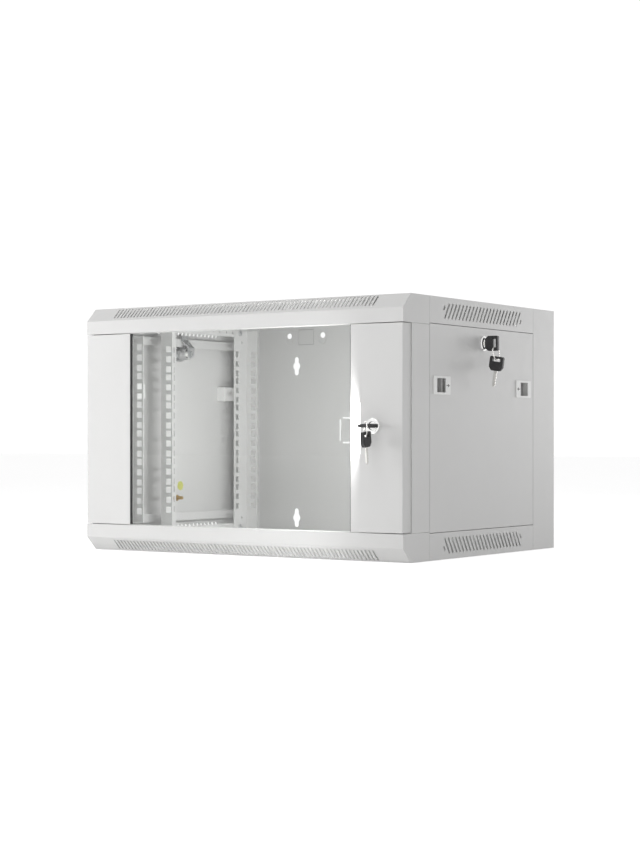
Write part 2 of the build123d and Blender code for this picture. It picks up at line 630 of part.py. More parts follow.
def depth_bracket():
    """Upper right bracket along the roof that carries the rails, with its row of fixing holes."""
    y = (SECTION_FRONT + JOINING_FLANGE / 4, SECTION_REAR - JOINING_FLANGE / 4)
    top = ROOF - SHEET
    line = [(BRACKET_X, top - BRACKET_HEIGHT), (BRACKET_X, top), (BRACKET_X + BRACKET_FOOT, top)]
    bracket = along_y(line, BRACKET_SHEET, *y)
    hole = Rot(0, 90, 0) * Cylinder(BRACKET_HOLE / 2, BRACKET_SHEET * 4)
    return bracket - [Pos(BRACKET_X, place, BRACKET_ROW_Z) * hole for place in bracket_row()]


def rail_web(face, web_way):
    """Front and rear limits of a rail's side web."""
    ends = (face, face + RAIL_DEPTH) if web_way > 0 else (face + RAIL_SHEET - RAIL_DEPTH, face + RAIL_SHEET)
    return ends


def rail_screw_y(face, web_way):
    """Depth of the bracket hole nearest to the middle of a rail's web."""
    middle = sum(rail_web(face, web_way)) / 2
    return min(bracket_row(), key=lambda y: abs(y - middle))


def rail(face, web_way):
    """Right rail: rack flange with its front face at y = face, side web towards web_way."""
    front, rear = rail_web(face, web_way)
    if web_way > 0:
        line = [(BRACKET_X, rear), (BRACKET_X, front), (RACK_X, front)]
        free = rear
    else:
        line = [(RACK_X, rear), (BRACKET_X, rear), (BRACKET_X, front)]
        free = front
    piece = along_z(line, RAIL_SHEET, -RAIL_END, RAIL_END)
    piece -= rack_holes(HOLE_X, face, RACK_HOLE, RAIL_SHEET * 4, RACK_HOLE)
    piece -= rack_holes(BRACKET_X, free - web_way * WEB_HOLE_EDGE, RAIL_SHEET * 4, *WEB_HOLE)
    holes = [(free - web_way * SPARE_HOLE_EDGE, RAIL_END - SPARE_HOLE_FROM_END),
             (rail_screw_y(face, web_way), BRACKET_ROW_Z)]
    for y, z in holes:
        for way in (-1, 1):
            piece -= Pos(BRACKET_X, y, way * z) * Rot(0, 90, 0) * Cylinder(BRACKET_HOLE / 2, RAIL_SHEET * 4)
    return piece


def screw(grip):
    """Pan-head screw in its own frame: the head above z = 0, the shank through grip and a little beyond."""
    head = Pos(0, 0, SCREW_HEAD[1] / 2) * Cylinder(SCREW_HEAD[0] / 2, SCREW_HEAD[1])
    head = chamfer(head.edges().group_by(Axis.Z)[-1], SCREW_HEAD[1] / 3)
    length = grip + SCREW_TIP
    return head + Pos(0, 0, -length / 2) * Cylinder(SCREW / 2, length)


def rail_screws():
    """Screws that hold the rails to the depth brackets, heads inward."""
    piece = screw(RAIL_SHEET + BRACKET_SHEET)
    screws = []
    for face, web_way in ((FRONT + FRONT_RAIL, 1), (-REAR_RAIL, -1)):
        y = rail_screw_y(face, web_way)
        for side in (-1, 1):
            for z in (-BRACKET_ROW_Z, BRACKET_ROW_Z):
                screws.append(Pos(side * WEB_X, y, z) * Rot(0, -90 * side, 0) * piece)
    return screws


def cover_screws():
    """Screws of both entry covers, heads inside the cabinet."""
    piece = screw(COVER_SHEET + SHEET - SCREW_TIP)
    z = ROOF - SHEET - COVER_SHEET
    return [Pos(x, y, side * z) * Rot(90 + 90 * side, 0, 0) * piece
            for side in (-1, 1) for x, y in cover_screw_places()]


def earth_stud():
    """Earth stud on the left side panel: threaded stud, nut and washer."""
    base = -SIDE + SHEET
    place = Pos(base, FRONT + EARTH_FROM_FRONT, FLOOR + EARTH_ABOVE_FLOOR) * Rot(0, 90, 0)
    stud = Pos(0, 0, EARTH_LENGTH / 2) * Cylinder(EARTH_STUD / 2, EARTH_LENGTH)
    washer = Pos(0, 0, EARTH_WASHER / 2) * (Cylinder(EARTH_STUD, EARTH_WASHER)
                                            - Cylinder(EARTH_STUD / 2, EARTH_WASHER * 3))
    nut = extrude(RegularPolygon(EARTH_STUD * 0.85, 6, major_radius=False), EARTH_STUD * 0.8)
    nut -= Cylinder(EARTH_STUD / 2, EARTH_STUD * 4)
    return [place * stud, place * washer, place * Pos(0, 0, EARTH_WASHER) * nut]


def door_band(side):
    """Steel band of the door with its side return, the glass seat and folded ends."""
    seat = FRONT + GLASS_FROM_FRONT - SEAL
    flange_end = BAND_INNER + GLASS_LAP + CLAMP_FOOT + SEAL
    line = [(DOOR_SIDE, FRONT + DOOR_RETURN), (DOOR_SIDE, FRONT), (BAND_INNER, FRONT),
            (BAND_INNER, seat), (flange_end, seat)]
    band = along_z(line, SHEET, DOOR_BOTTOM, DOOR_TOP)
    for z in ((DOOR_BOTTOM, DOOR_BOTTOM + SHEET), (DOOR_TOP - SHEET, DOOR_TOP)):
        band += slab((flange_end, DOOR_SIDE), (FRONT, FRONT + DOOR_END_FOLD), z)
    band -= clamp_holes()
    if side > 0:
        hole = Rot(90, 0, 0) * Cylinder(LOCK_BODY / 2 + RUNNING, SHEET * 4)
        return band - Pos(LOCK_X, FRONT, LOCK_Z) * hole
    hole = Cylinder(HINGE_PIN / 2, SHEET * 4)
    return left_of(band) - [Pos(HINGE_X, HINGE_Y, z) * hole for z in (DOOR_BOTTOM, DOOR_TOP)]


def door_glass():
    """Toughened glass pane over the full height of the door."""
    x = BAND_INNER + GLASS_LAP
    face = FRONT + GLASS_FROM_FRONT
    pane = slab((-x, x), (face, face + GLASS), (DOOR_BOTTOM, DOOR_TOP))
    return chamfer(pane.edges().filter_by(Axis.Y), GLASS / 4)


def glass_seal():
    """Black strip over the right band's inner edge and under the glass."""
    face = FRONT + GLASS_FROM_FRONT
    edge = slab((BAND_INNER - SEAL, BAND_INNER), (FRONT + SHEET / 2, face), (DOOR_BOTTOM, DOOR_TOP))
    bed = slab((BAND_INNER - SEAL, BAND_INNER + GLASS_LAP), (face - SEAL, face), (DOOR_BOTTOM, DOOR_TOP))
    return edge + bed


def clamp_screw_places():
    """Centres of the right clamp's screws on the face of its foot."""
    x = BAND_INNER + GLASS_LAP + SEAL + CLAMP_SHEET + (SCREW_HEAD[0] + SEAL) / 2
    y = FRONT + GLASS_FROM_FRONT - SEAL + CLAMP_SHEET
    reach = (DOOR_TOP - DOOR_BOTTOM) / 2 - CLAMP_SCREW_END
    return [(x, y, (DOOR_TOP + DOOR_BOTTOM) / 2 - reach + i * 2 * reach / (CLAMP_SCREWS - 1))
            for i in range(CLAMP_SCREWS)]


def clamp_holes():
    """Cutters for the right clamp's screws through its foot and the band's inner fold."""
    length = CLAMP_SHEET + SHEET
    return [Pos(x, y - length / 2, z) * Rot(90, 0, 0) * Cylinder(SCREW / 2, length + SEAL)
            for x, y, z in clamp_screw_places()]


def glass_clamp():
    """Cranked bar that holds the right edge of the glass against its seat."""
    seat = FRONT + GLASS_FROM_FRONT - SEAL
    back = FRONT + GLASS_FROM_FRONT + GLASS
    step = BAND_INNER + GLASS_LAP + SEAL
    line = [(step + CLAMP_FOOT - SEAL, seat), (step, seat), (step, back), (BAND_INNER + SEAL, back)]
    bar = along_z(line, CLAMP_SHEET, DOOR_BOTTOM + CLAMP_END_GAP, DOOR_TOP - CLAMP_END_GAP)
    return bar - clamp_holes()


def clamp_screws():
    """Screws along both clamping bars, heads inside the door."""
    room = GLASS_FROM_FRONT - SEAL - SHEET * 2
    piece = screw(CLAMP_SHEET + SHEET + room / 2 - SCREW_TIP)
    right = [Pos(*place) * Rot(-90, 0, 0) * piece for place in clamp_screw_places()]
    return right + [left_of(each) for each in right]


def hinge_pin(end):
    """Hinge pin in one end of the door, standing into the trim's lip."""
    foot = DOOR_TOP - SHEET - HINGE_PLATE
    length = HINGE_PLATE + SHEET + DOOR_GAP + PIN_REACH
    pin = Pos(HINGE_X, HINGE_Y, foot + length / 2) * Cylinder(HINGE_PIN / 2, length)
    return pin if end > 0 else underside_of(pin)


def hinge_plate(end):
    """Plate inside the band's end that carries the hinge pin."""
    x = (-DOOR_SIDE + SHEET, -DOOR_SIDE + SHEET + HINGE_PLATE_WIDTH)
    y = (FRONT + SHEET, FRONT + DOOR_END_FOLD)
    plate = slab(x, y, (DOOR_TOP - SHEET - HINGE_PLATE, DOOR_TOP - SHEET))
    plate -= Pos(HINGE_X, HINGE_Y, DOOR_TOP) * Cylinder(HINGE_PIN / 2, HINGE_PLATE * 6)
    return plate if end > 0 else underside_of(plate)


def slot_centre():
    """Distance from the panel's face to the middle of the ring slot of a key in its lock."""
    return BEZEL_PROUD + KEY_STANDOFF + KEY_HEAD[1] - KEY_BAR - KEY_SLOT[1] / 2


def hung_key(low, turn, lean, play):
    """Spare key whose slot's bar hangs inside a ring's lowest point; turn is its broad side's heading."""
    end = BEZEL_PROUD + KEY_STANDOFF + KEY_HEAD[1]
    top = play + RING_WIRE / 2 + KEY_BAR
    place = Pos(low.X, low.Y, low.Z) * Rot(0, 0, turn) * Rot(0, lean, 0) * Pos(0, 0, top - end)
    return [place * piece for piece in key()]


def door_ring():
    """Ring through the slot of the door key and round its end, with its centre."""
    swing = Vector(sin(radians(DOOR_RING_TURN)), -cos(radians(DOOR_RING_TURN)))
    out = RING / 2 * cos(radians(DOOR_RING_DROP))
    down = RING / 2 * sin(radians(DOOR_RING_DROP))
    slot = Vector(LOCK_X - DOOR_RING_LEFT, FRONT - slot_centre() + DOOR_RING_IN, LOCK_Z - down)
    centre = slot + swing * out
    upright = Plane(centre, x_dir=(swing.X, swing.Y, 0), z_dir=(swing.Y, -swing.X, 0))
    return upright * Torus(RING / 2, RING_WIRE / 2), centre


def side_ring():
    """Ring hanging from the lower end of the slot of the right side key, with its lowest point."""
    height = SIDE_LOCK_Z - KEY_SLOT[0] / 2 + RING_WIRE / 2 + RING_PLAY
    top = Vector(SIDE + slot_centre(), SIDE_LOCK_Y, height)
    way = Vector(sin(radians(SIDE_RING_SWING)), 0, -cos(radians(SIDE_RING_SWING)))
    plane = Plane(top + way * (RING / 2), x_dir=(0, 1, 0), z_dir=(-way.Z, 0, way.X))
    return plane * Torus(RING / 2, RING_WIRE / 2), top + way * RING


def add_key(nodes, name, pieces):
    """Put a key's head and blade among the nodes."""
    nodes[f"{name}_head"], nodes[f"{name}_blade"] = pieces


def main():
    """Build every node and write it."""
    nodes = {
        "front_top_trim": front_trim(),
        "front_bottom_trim": underside_of(front_trim()),
        "front_post_right": front_post(True),
        "front_post_left": left_of(front_post(False)),
        "roof_panel": roof_panel(),
        "floor_panel": floor_panel(),
        "rear_pan": rear_pan(),
        "roof_entry_cover": entry_cover(),
        "floor_entry_cover": underside_of(entry_cover()),
        "entry_cover_screws": cover_screws(),
        "rail_screws": rail_screws(),
        "earth_stud": earth_stud(),
        "door_glass": door_glass(),
        "glass_seals": [glass_seal(), left_of(glass_seal())],
        "glass_clamps": [glass_clamp(), left_of(glass_clamp())],
        "glass_clamp_screws": clamp_screws(),
        "hinge_plates": [hinge_plate(end) for end in (1, -1)],
        "hinge_pins": [hinge_pin(end) for end in (1, -1)],
        "door_lock_nut": lock_frame("door").location * lock_nut(),
        "side_lock_nuts": [lock_frame(name).location * lock_nut() for name in ("left", "right")],
    }
    front_rail = rail(FRONT + FRONT_RAIL, 1)
    rear_rail = rail(-REAR_RAIL, -1)
    panel = side_panel()
    bracket = depth_bracket()
    housing, slider = latch_housing(), latch_slider()
    for name, side in (("left", -1), ("right", 1)):
        turned = left_of if side < 0 else (lambda shape: shape)
        nodes[f"front_rail_{name}"] = turned(front_rail)
        nodes[f"rear_rail_{name}"] = turned(rear_rail)
        nodes[f"side_panel_{name}"] = turned(panel)
        nodes[f"depth_bracket_roof_{name}"] = turned(bracket)
        nodes[f"depth_bracket_floor_{name}"] = turned(underside_of(bracket))
        nodes[f"door_band_{name}"] = door_band(side)
        for place, end in (("front", -1), ("rear", 1)):
            frame = latch_frame(side, end)
            nodes[f"latch_housing_{name}_{place}"] = frame.location * housing
            nodes[f"latch_slider_{name}_{place}"] = frame.location * slider
    for name, arm, crank in (("door", -90, 0), ("left", 0, SIDE_CAM_CRANK), ("right", 0, SIDE_CAM_CRANK)):
        frame = lock_frame(name).location
        prefix = "door_lock" if name == "door" else f"side_lock_{name}"
        nodes[f"{prefix}_body"] = frame * lock_body()
        nodes[f"{prefix}_plug"] = frame * lock_plug()
        nodes[f"{prefix}_cam"] = [frame * piece for piece in lock_cam(arm, crank)]
    ring, centre = door_ring()
    nodes["door_key_ring"] = ring
    add_key(nodes, "door_key", [lock_frame("door").location * piece for piece in key()])
    low = centre - Vector(0, 0, RING / 2)
    add_key(nodes, "door_spare_key", hung_key(low, DOOR_SPARE_TURN, DOOR_SPARE_LEAN, DOOR_SPARE_PLAY))
    ring, low = side_ring()
    nodes["side_key_ring"] = ring
    add_key(nodes, "side_key", [lock_frame("right").location * piece for piece in key()])
    add_key(nodes, "side_spare_key", hung_key(low, 0, SIDE_SPARE_LEAN, RING_PLAY))

    os.makedirs("parts", exist_ok=True)
    for name, shape in nodes.items():
        solids = shape if isinstance(shape, list) else [shape]
        solids = [solid for piece in solids for solid in piece.solids()]
        export_step(solids[0] if len(solids) == 1 else Compound(solids), f"parts/{name}.step")


main()
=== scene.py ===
"""Looks of the wall mount network cabinet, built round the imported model."""
import math

import bmesh
import bpy
from mathutils import Matrix, Vector


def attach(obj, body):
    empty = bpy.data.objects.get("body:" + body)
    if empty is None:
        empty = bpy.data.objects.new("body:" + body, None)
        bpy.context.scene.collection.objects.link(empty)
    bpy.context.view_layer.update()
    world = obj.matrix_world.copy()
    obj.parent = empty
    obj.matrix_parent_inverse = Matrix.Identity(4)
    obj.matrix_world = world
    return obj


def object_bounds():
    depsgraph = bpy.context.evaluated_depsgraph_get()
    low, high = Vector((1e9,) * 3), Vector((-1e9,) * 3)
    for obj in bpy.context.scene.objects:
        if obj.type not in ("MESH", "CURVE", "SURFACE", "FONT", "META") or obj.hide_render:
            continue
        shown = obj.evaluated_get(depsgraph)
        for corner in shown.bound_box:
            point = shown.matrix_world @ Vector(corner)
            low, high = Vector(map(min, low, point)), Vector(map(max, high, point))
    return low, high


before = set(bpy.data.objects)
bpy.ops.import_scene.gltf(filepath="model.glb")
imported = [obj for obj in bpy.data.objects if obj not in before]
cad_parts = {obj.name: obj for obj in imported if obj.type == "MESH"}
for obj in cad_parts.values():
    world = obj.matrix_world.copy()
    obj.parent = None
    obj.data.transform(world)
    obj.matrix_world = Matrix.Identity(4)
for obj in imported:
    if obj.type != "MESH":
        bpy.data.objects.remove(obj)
cad_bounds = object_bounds()


# Materials

NOISE_MIDDLE = (0.3, 0.7)     # where most of a noise factor lies
METAL_EDGE = 0.0004           # rounding of sharp edges, in metres
PLASTIC_EDGE = 0.0005


def material(name):
    """New node material, with its node tree and its Principled shader."""
    made = bpy.data.materials.new(name)
    made.use_nodes = True
    tree = made.node_tree
    shader = next(node for node in tree.nodes if node.type == "BSDF_PRINCIPLED")
    return made, tree, shader


def place_on_piece(tree):
    """Object coordinates."""
    return tree.nodes.new("ShaderNodeTexCoord").outputs["Object"]


def noise(tree, vector, scale, detail=3.0, roughness=0.5):
    """Noise factor at a scale per metre."""
    node = tree.nodes.new("ShaderNodeTexNoise")
    node.inputs["Scale"].default_value = scale
    node.inputs["Detail"].default_value = detail
    node.inputs["Roughness"].default_value = roughness
    tree.links.new(vector, node.inputs["Vector"])
    return node.outputs["Fac"]


def spread(tree, factor, low, high):
    """Middle of a noise factor, spread between two numbers."""
    node = tree.nodes.new("ShaderNodeMapRange")
    node.inputs["From Min"].default_value, node.inputs["From Max"].default_value = NOISE_MIDDLE
    node.inputs["To Min"].default_value = low
    node.inputs["To Max"].default_value = high
    tree.links.new(factor, node.inputs["Value"])
    return node.outputs["Result"]


def two_tones(tree, factor, first, second, low=NOISE_MIDDLE[0], high=NOISE_MIDDLE[1]):
    """Colour between two tones by a factor."""
    ramp = tree.nodes.new("ShaderNodeValToRGB")
    ramp.color_ramp.elements[0].position = low
    ramp.color_ramp.elements[0].color = (*first, 1)
    ramp.color_ramp.elements[1].position = high
    ramp.color_ramp.elements[1].color = (*second, 1)
    tree.links.new(factor, ramp.inputs["Fac"])
    return ramp.outputs["Color"]


def bump(tree, height, strength, distance, normal):
    """Normal from a height, on top of another normal."""
    node = tree.nodes.new("ShaderNodeBump")
    node.inputs["Strength"].default_value = strength
    node.inputs["Distance"].default_value = distance
    tree.links.new(height, node.inputs["Height"])
    tree.links.new(normal, node.inputs["Normal"])
    return node.outputs["Normal"]


def soft_edges(tree, radius):
    """Normal that rounds the sharp edges of folded sheet."""
    node = tree.nodes.new("ShaderNodeBevel")
    node.samples = 6
    node.inputs["Radius"].default_value = radius
    return node.outputs["Normal"]


def powder_coat(name, tone, warmth):
    """Light grey powder coat: fine orange peel, faint cloudiness and softened folds."""
    made, tree, shader = material(name)
    vector = place_on_piece(tree)
    cloud = noise(tree, vector, 5.0, 4.0, 0.55)
    first = (tone * 0.975 + warmth, tone * 0.975, tone * 0.97 - warmth)
    second = (tone + warmth, tone, tone * 0.994 - warmth)
    tree.links.new(two_tones(tree, cloud, first, second, 0.35, 0.65), shader.inputs["Base Color"])
    peel = noise(tree, vector, 900.0, 2.0, 0.4)
    edges = soft_edges(tree, METAL_EDGE)
    tree.links.new(spread(tree, noise(tree, vector, 60.0), 0.40, 0.47), shader.inputs["Roughness"])
    tree.links.new(bump(tree, peel, 0.10, 0.0002, edges), shader.inputs["Normal"])
    shader.inputs["Specular IOR Level"].default_value = 0.42
    return made


def moulded(name, first, second, rough, strength=0.14):
    """Moulded plastic with a fine grain."""
    made, tree, shader = material(name)
    vector = place_on_piece(tree)
    tree.links.new(two_tones(tree, noise(tree, vector, 140.0), first, second), shader.inputs["Base Color"])
    patches = noise(tree, vector, 300.0)
    tree.links.new(spread(tree, patches, rough - 0.05, rough + 0.05), shader.inputs["Roughness"])
    grain = noise(tree, vector, 1600.0, 2.0)
    edges = soft_edges(tree, PLASTIC_EDGE)
    tree.links.new(bump(tree, grain, strength, 0.0001, edges), shader.inputs["Normal"])
    return made


def plated(name, tone, rough, scratch=0.05):
    """Plated metal with faint polishing lines and handling marks."""
    made, tree, shader = material(name)
    vector = place_on_piece(tree)
    darker = tuple(channel * 0.86 for channel in tone)
    marks = noise(tree, vector, 90.0, 5.0)
    tree.links.new(two_tones(tree, marks, darker, tone, 0.3, 0.55), shader.inputs["Base Color"])
    shader.inputs["Metallic"].default_value = 1.0
    patches = noise(tree, vector, 420.0, 4.0)
    tree.links.new(spread(tree, patches, rough * 0.7, rough * 1.4), shader.inputs["Roughness"])
    lines = noise(tree, vector, 1800.0, 2.0)
    edges = soft_edges(tree, METAL_EDGE)
    tree.links.new(bump(tree, lines, scratch, 0.0001, edges), shader.inputs["Normal"])
    return made


def clear_glass(name):
    """Clear pane that lets light through straight, with a faint green body."""
    made, tree, shader = material(name)
    vector = place_on_piece(tree)
    smear = noise(tree, vector, 9.0, 3.0)
    tones = two_tones(tree, smear, (0.962, 0.975, 0.968), (0.970, 0.98, 0.975))
    tree.links.new(tones, shader.inputs["Base Color"])
    tree.links.new(spread(tree, smear, 0.0, 0.02), shader.inputs["Roughness"])
    shader.inputs["Transmission Weight"].default_value = 1.0
    shader.inputs["IOR"].default_value = 1.45
    through = tree.nodes.new("ShaderNodeBsdfTransparent")
    through.inputs["Color"].default_value = (0.955, 0.963, 0.957, 1)
    path = tree.nodes.new("ShaderNodeLightPath")
    either = tree.nodes.new("ShaderNodeMath")
    either.operation = "MAXIMUM"
    tree.links.new(path.outputs["Is Shadow Ray"], either.inputs[0])
    tree.links.new(path.outputs["Is Diffuse Ray"], either.inputs[1])
    mix = tree.nodes.new("ShaderNodeMixShader")
    output = next(node for node in tree.nodes if node.type == "OUTPUT_MATERIAL")
    tree.links.new(either.outputs["Value"], mix.inputs["Fac"])
    tree.links.new(shader.outputs["BSDF"], mix.inputs[1])
    tree.links.new(through.outputs["BSDF"], mix.inputs[2])
    tree.links.new(mix.outputs["Shader"], output.inputs["Surface"])
    return made


PAINT = powder_coat("grey_powder_coat", 0.72, 0.002)
# The inside copy is a touch darker than the outside coat: painted shade on the rails and the other inner
# parts.
SHADED_INNER_PAINT = powder_coat("grey_powder_coat_inside_painted_shade", 0.71, 0.002)
GLASS = clear_glass("clear_toughened_glass")
RUBBER = moulded("black_rubber", (0.018, 0.018, 0.018), (0.032, 0.032, 0.033), 0.6)
KEY_BLACK = moulded("key_black_plastic", (0.016, 0.016, 0.017), (0.03, 0.03, 0.031), 0.42, strength=0.2)
LATCH_GREY = moulded("latch_light_plastic", (0.88, 0.88, 0.87), (0.92, 0.92, 0.91), 0.45)
SLIDER_GREY = moulded("latch_slider_plastic", (0.46, 0.46, 0.46), (0.52, 0.52, 0.515), 0.48)
CHROME = plated("chrome_plate", (0.90, 0.90, 0.89), 0.14)
NICKEL = plated("nickel_plate", (0.86, 0.85, 0.82), 0.20)
ZINC = plated("zinc_plate", (0.66, 0.67, 0.68), 0.32, scratch=0.12)
BRASS = plated("brass", (0.62, 0.42, 0.14), 0.30, scratch=0.15)
MARK_GREY = moulded("mark_dark_grey", (0.10, 0.10, 0.10), (0.14, 0.14, 0.14), 0.6)
EARTH_GREEN = moulded("earth_marker_yellow_green", (0.60, 0.62, 0.13), (0.68, 0.70, 0.17), 0.5, strength=0.05)

OUTSIDE = ("front_top_trim", "front_bottom_trim", "door_band_left", "door_band_right", "side_panel_left",
           "side_panel_right", "roof_panel", "floor_panel", "rear_pan", "front_post_left", "front_post_right")


def finish_of(node):
    """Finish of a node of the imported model."""
    if node == "door_glass":
        return GLASS
    if node == "glass_seals":
        return RUBBER
    if node.endswith("key_head"):
        return KEY_BLACK
    if node.endswith(("key_blade", "key_ring")):
        return NICKEL
    if node.startswith("latch_housing"):
        return LATCH_GREY
    if node.startswith("latch_slider"):
        return SLIDER_GREY
    if "lock" in node:
        return ZINC if node.endswith(("nut", "nuts", "cam")) else CHROME
    if node == "earth_stud":
        return BRASS
    if node.endswith("screws") or node == "hinge_pins":
        return ZINC
    # Inner parts take the darker copy of the coat, which paints shade on them.
    return PAINT if node in OUTSIDE else SHADED_INNER_PAINT


for node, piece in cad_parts.items():
    piece.data.materials.clear()
    piece.data.materials.append(finish_of(node))


# Details that are too fine for the solids, in millimetres like the model's own drawing

MM = 0.001
FRONT, SIDE = -450.0, 285.0
SHEET = 1.2
LOCK_X, LOCK_Z = 236.0, 3.0
SIDE_LOCK_Y, SIDE_LOCK_Z = -225.0, 124.5
LOCK_THREAD = (9.5, 1.5, 0.42, -21.4, -5.4)        # radius, pitch, depth, low and high end
LATCH_Z = 60.5
LATCH_Y = {"front": -347.0, "rear": -103.0}
RIBS, RIB_PITCH, RIB_HALF = 9, 2.1, 0.45
RIB_SPANS = ((-13.6, 2.9), (6.1, 9.5))             # on both sides of the finger rib
RIB_HEIGHTS = (-9.1, -8.4)
ARROW_TAIL, ARROW_NECK, ARROW_TIP = 11.6, 16.4, 20.4
ARROW_SHAFT, ARROW_HEAD = 0.55, 2.6                # half widths
ARROW_HEIGHTS = (1.15, 1.3)
EARTH_STUD_Y, EARTH_STUD_Z = -234.0, -111.0
EARTH_THREAD = (2.5, 0.8, 0.24, 5.6, 14.5, 24)     # the same, and sides to a turn
EARTH_MARKER_Y, EARTH_MARKER_Z = -221.0, -91.5
EARTH_MARKER, EARTH_MARKER_HEIGHTS = 15.0, (-0.1, 0.25)
KNOCKOUT_X, KNOCKOUT_Z = 184.8, 159.4
KNOCKOUT_HALF = (15.5, 12.75)
# Half width and heights of the dark sheet of painted shade laid in the knock-out grooves.
GROOVE_HALF, GROOVE_SHADE_HEIGHTS = 0.6, (-0.75, -0.6)


def piece_of(name, build, place, finish, body):
    """Make a piece from build(mesh), put it at place, a matrix in millimetres, and let it ride on a body."""
    mesh = bmesh.new()
    build(mesh)
    bmesh.ops.transform(mesh, matrix=Matrix.Scale(MM, 4) @ place, verts=mesh.verts)
    bmesh.ops.recalc_face_normals(mesh, faces=mesh.faces)
    data = bpy.data.meshes.new(name)
    mesh.to_mesh(data)
    mesh.free()
    data.materials.append(finish)
    piece = bpy.data.objects.new(name, data)
    bpy.context.scene.collection.objects.link(piece)
    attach(piece, body)


def plate(mesh, outline, low, high):
    """Add a plate with an (x, y) outline between two heights."""
    bottom = [mesh.verts.new((x, y, low)) for x, y in outline]
    top = [mesh.verts.new((x, y, high)) for x, y in outline]
    mesh.faces.new(top)
    mesh.faces.new(bottom[::-1])
    count = len(outline)
    for i in range(count):
        j = (i + 1) % count
        mesh.faces.new((bottom[i], bottom[j], top[j], top[i]))


def rounded(width, height, corner, steps=6):
    """Outline of a rounded rectangle about the origin."""
    points = []
    for quarter, (sx, sy) in enumerate(((1, 1), (-1, 1), (-1, -1), (1, -1))):
        for step in range(steps + 1):
            angle = math.radians(90 * (quarter + step / steps))
            points.append((sx * (width / 2 - corner) + corner * math.cos(angle),
                           sy * (height / 2 - corner) + corner * math.sin(angle)))
    return points


def thread(mesh, radius, pitch, depth, low, high, around=40):
    """Add a round-crested screw thread along Z, as a tube on a helix with closed ends."""
    turns = (high - low) / pitch
    steps = int(turns * around)
    loops = []
    for step in range(steps + 1):
        angle = 2 * math.pi * step / around
        z = low + pitch * step / around
        outward = Vector((math.cos(angle), math.sin(angle), 0))
        loop = []
        for side in range(6):
            turn = 2 * math.pi * side / 6
            reach = radius + depth * math.cos(turn)
            loop.append(mesh.verts.new(outward * reach + Vector((0, 0, z + depth * math.sin(turn)))))
        loops.append(loop)
    for first, second in zip(loops, loops[1:]):
        for side in range(6):
            other = (side + 1) % 6
            mesh.faces.new((first[side], first[other], second[other], second[side]))
    mesh.faces.new(loops[0])
    mesh.faces.new(loops[-1][::-1])


def frame_of(origin, x_way, z_way):
    """Matrix with its origin, X and Z directions given in the model's axes."""
    x_axis, z_axis = Vector(x_way).normalized(), Vector(z_way).normalized()
    y_axis = z_axis.cross(x_axis)
    turn = Matrix((x_axis, y_axis, z_axis)).transposed().to_4x4()
    return Matrix.Translation(Vector(origin)) @ turn


LOCKS = {
    "door": frame_of((LOCK_X, FRONT, LOCK_Z), (1, 0, 0), (0, -1, 0)),
    "left": frame_of((-SIDE, SIDE_LOCK_Y, SIDE_LOCK_Z), (0, 0, 1), (-1, 0, 0)),
    "right": frame_of((SIDE, SIDE_LOCK_Y, SIDE_LOCK_Z), (0, 0, 1), (1, 0, 0)),
}
for name, place in LOCKS.items():
    body = "door" if name == "door" else "cabinet"
    piece_of(f"lock_thread_{name}", lambda mesh: thread(mesh, *LOCK_THREAD), place, ZINC, body)


def turned(degrees, axis):
    """Rotation about an axis through the origin."""
    return Matrix.Rotation(math.radians(degrees), 4, axis)


def moved(x, y, z):
    """Shift in millimetres."""
    return Matrix.Translation(Vector((x, y, z)))


RING_RADIUS = 9.7
SLOT_OUT = 18.6         # from the panel's face to the middle of a key's slot
KEY_END = 24.1          # and to the key's end
HUNG_BAR = 4.1          # from a ring's wire to the end of the key that hangs on it
DOOR_RING_LEFT = 2.0    # of the lock's axis
DOOR_RING_IN = 0.5      # nearer to the door than the middle of the slot
DOOR_RING_TURN, DOOR_RING_DROP = math.radians(43), math.radians(26)
DOOR_SPARE_TURN, DOOR_SPARE_LEAN, DOOR_SPARE_PLAY = 93, -7, 1.5
SIDE_RING_DOWN = 5.0    # below the lock's axis
SIDE_RING_LEAN = math.radians(10)
SIDE_SPARE_LEAN, SIDE_SPARE_PLAY = 8, 0.6
RELIEF_HEIGHTS = (2.2, 2.65)
ring_way = Vector((math.sin(DOOR_RING_TURN), -math.cos(DOOR_RING_TURN), 0))
ring_fall = RING_RADIUS * math.sin(DOOR_RING_DROP) + RING_RADIUS
door_low = (Vector((LOCK_X - DOOR_RING_LEFT, FRONT - SLOT_OUT + DOOR_RING_IN, LOCK_Z - ring_fall))
            + ring_way * RING_RADIUS * math.cos(DOOR_RING_DROP))
side_way = Vector((math.sin(SIDE_RING_LEAN), 0, -math.cos(SIDE_RING_LEAN)))
side_low = Vector((SIDE + SLOT_OUT, SIDE_LOCK_Y, SIDE_LOCK_Z - SIDE_RING_DOWN)) + side_way * RING_RADIUS * 2
KEYS = {
    "door_key": LOCKS["door"],
    "side_key": LOCKS["right"],
    "door_spare_key": (moved(*door_low) @ turned(DOOR_SPARE_TURN, "Z") @ turned(DOOR_SPARE_LEAN, "Y")
                       @ moved(0, 0, DOOR_SPARE_PLAY + HUNG_BAR - KEY_END)),
    "side_spare_key": (moved(*side_low) @ turned(SIDE_SPARE_LEAN, "Y")
                       @ moved(0, 0, SIDE_SPARE_PLAY + HUNG_BAR - KEY_END)),
}
KEY_FACE = frame_of((0, 0, 10.4), (1, 0, 0), (0, -1, 0))
GRIP_OUTLINE = [(-6.0, -4.6), (6.0, -4.6), (8.4, -1.2), (8.4, 4.2), (-8.4, 4.2), (-8.4, -1.2)]


def key_relief(mesh):
    """Raised field on both broad sides of a key's head."""
    low, high = RELIEF_HEIGHTS
    plate(mesh, GRIP_OUTLINE, low, high)
    plate(mesh, GRIP_OUTLINE, -high, -low)


for name, place in KEYS.items():
    piece_of(f"{name}_relief", key_relief, place @ KEY_FACE, KEY_BLACK, name)


